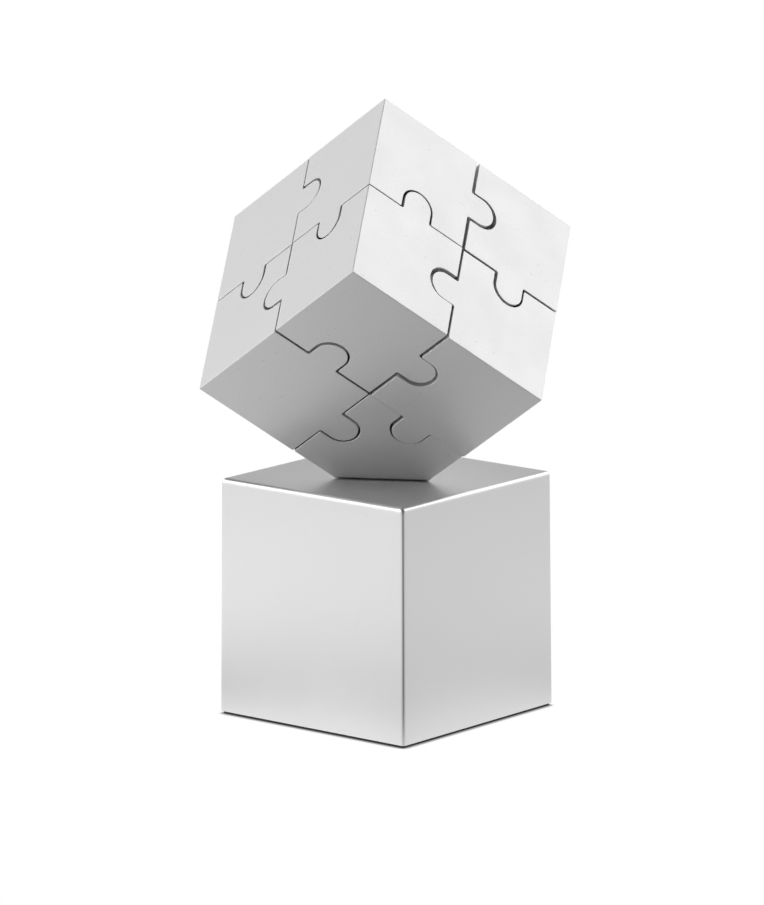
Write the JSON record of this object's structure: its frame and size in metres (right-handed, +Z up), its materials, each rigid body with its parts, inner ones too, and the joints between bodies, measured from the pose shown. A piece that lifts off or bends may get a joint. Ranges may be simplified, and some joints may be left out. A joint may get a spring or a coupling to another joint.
{
  "type": "magnetic jigsaw puzzle cube on a base block",
  "caption": "Metal jigsaw cube whose corner pieces slide together and hold by magnets, standing on one cut-off corner on a square metal base block.",
  "frame": {"origin": "centre of the underside of the pad under the base block", "axes": "+Z up; the base block's sides face +X, -X, +Y and -Y; the cube's long diagonal is the Z axis, and one of the three edges that rise from its foot corner runs out over +X"},
  "size_m": [0.0637, 0.0552, 0.1002],
  "materials": {
    "blasted_metal": "matte",
    "satin_metal": "satin",
    "magnet_nickel": "polished",
    "plain_steel": "satin",
    "black_rubber": "matte"
  },
  "bodies": {
    "base": {"base_shell": "satin_metal", "base_cover": "plain_steel", "ballast_block": "plain_steel", "base_pad": "black_rubber", "base_screw_1": "plain_steel", "base_screw_2": "plain_steel", "base_screw_3": "plain_steel", "base_screw_4": "plain_steel"},
    "base_magnet": {"base_magnet": "magnet_nickel"},
    "foot_piece": {"foot_piece": "blasted_metal", "foot_piece_magnet_x": "magnet_nickel", "foot_piece_magnet_y": "magnet_nickel", "foot_piece_magnet_z": "magnet_nickel", "foot_magnet": "magnet_nickel"},
    "lower_right_piece": {"lower_right_piece": "blasted_metal", "lower_right_piece_magnet_x": "magnet_nickel", "lower_right_piece_magnet_y": "magnet_nickel", "lower_right_piece_magnet_z": "magnet_nickel"},
    "lower_back_piece": {"lower_back_piece": "blasted_metal", "lower_back_piece_magnet_x": "magnet_nickel", "lower_back_piece_magnet_y": "magnet_nickel", "lower_back_piece_magnet_z": "magnet_nickel"},
    "lower_front_piece": {"lower_front_piece": "blasted_metal", "lower_front_piece_magnet_x": "magnet_nickel", "lower_front_piece_magnet_y": "magnet_nickel", "lower_front_piece_magnet_z": "magnet_nickel"},
    "upper_front_piece": {"upper_front_piece": "blasted_metal", "upper_front_piece_magnet_x": "magnet_nickel", "upper_front_piece_magnet_y": "magnet_nickel", "upper_front_piece_magnet_z": "magnet_nickel"},
    "upper_back_piece": {"upper_back_piece": "blasted_metal", "upper_back_piece_magnet_x": "magnet_nickel", "upper_back_piece_magnet_y": "magnet_nickel", "upper_back_piece_magnet_z": "magnet_nickel"},
    "upper_left_piece": {"upper_left_piece": "blasted_metal", "upper_left_piece_magnet_x": "magnet_nickel", "upper_left_piece_magnet_y": "magnet_nickel", "upper_left_piece_magnet_z": "magnet_nickel"},
    "top_piece": {"top_piece": "blasted_metal", "top_piece_magnet_x": "magnet_nickel", "top_piece_magnet_y": "magnet_nickel", "top_piece_magnet_z": "magnet_nickel"}
  },
  "joints": [
    {"name": "cube_spin", "type": "hinge", "parent": "base", "child": "base_magnet", "pos_m": [0, 0, 0.03895], "axis": [0, 0, 1], "continuous": true},
    {"name": "cube_lift", "type": "slide", "parent": "base_magnet", "child": "foot_piece", "axis": [0, 0, 1], "range_m": [0, 0.01]},
    {"name": "split_right", "type": "slide", "parent": "foot_piece", "child": "lower_right_piece", "axis": [0.8165, 0, 0.5774], "range_m": [0, 0.008]},
    {"name": "split_back", "type": "slide", "parent": "foot_piece", "child": "lower_back_piece", "axis": [-0.4082, 0.7071, 0.5774], "range_m": [0, 0.008]},
    {"name": "split_front", "type": "slide", "parent": "foot_piece", "child": "lower_front_piece", "axis": [-0.4082, -0.7071, 0.5774], "range_m": [0, 0.008]},
    {"name": "split_right_upper_front", "type": "slide", "parent": "lower_front_piece", "child": "upper_front_piece", "axis": [0.8165, 0, 0.5774], "range_m": [0, 0.008]},
    {"name": "split_back_upper_back", "type": "slide", "parent": "lower_right_piece", "child": "upper_back_piece", "axis": [-0.4082, 0.7071, 0.5774], "range_m": [0, 0.008]},
    {"name": "split_front_upper_left", "type": "slide", "parent": "lower_back_piece", "child": "upper_left_piece", "axis": [-0.4082, -0.7071, 0.5774], "range_m": [0, 0.008]},
    {"name": "split_back_top", "type": "slide", "parent": "upper_front_piece", "child": "top_piece", "axis": [-0.4082, 0.7071, 0.5774], "range_m": [0, 0.008]}
  ],
  "couplings": [
    {"joint": "split_right_upper_front", "follows": "split_right", "ratio": 1},
    {"joint": "split_back_upper_back", "follows": "split_back", "ratio": 1},
    {"joint": "split_front_upper_left", "follows": "split_front", "ratio": 1},
    {"joint": "split_back_top", "follows": "split_back", "ratio": 1}
  ]
}
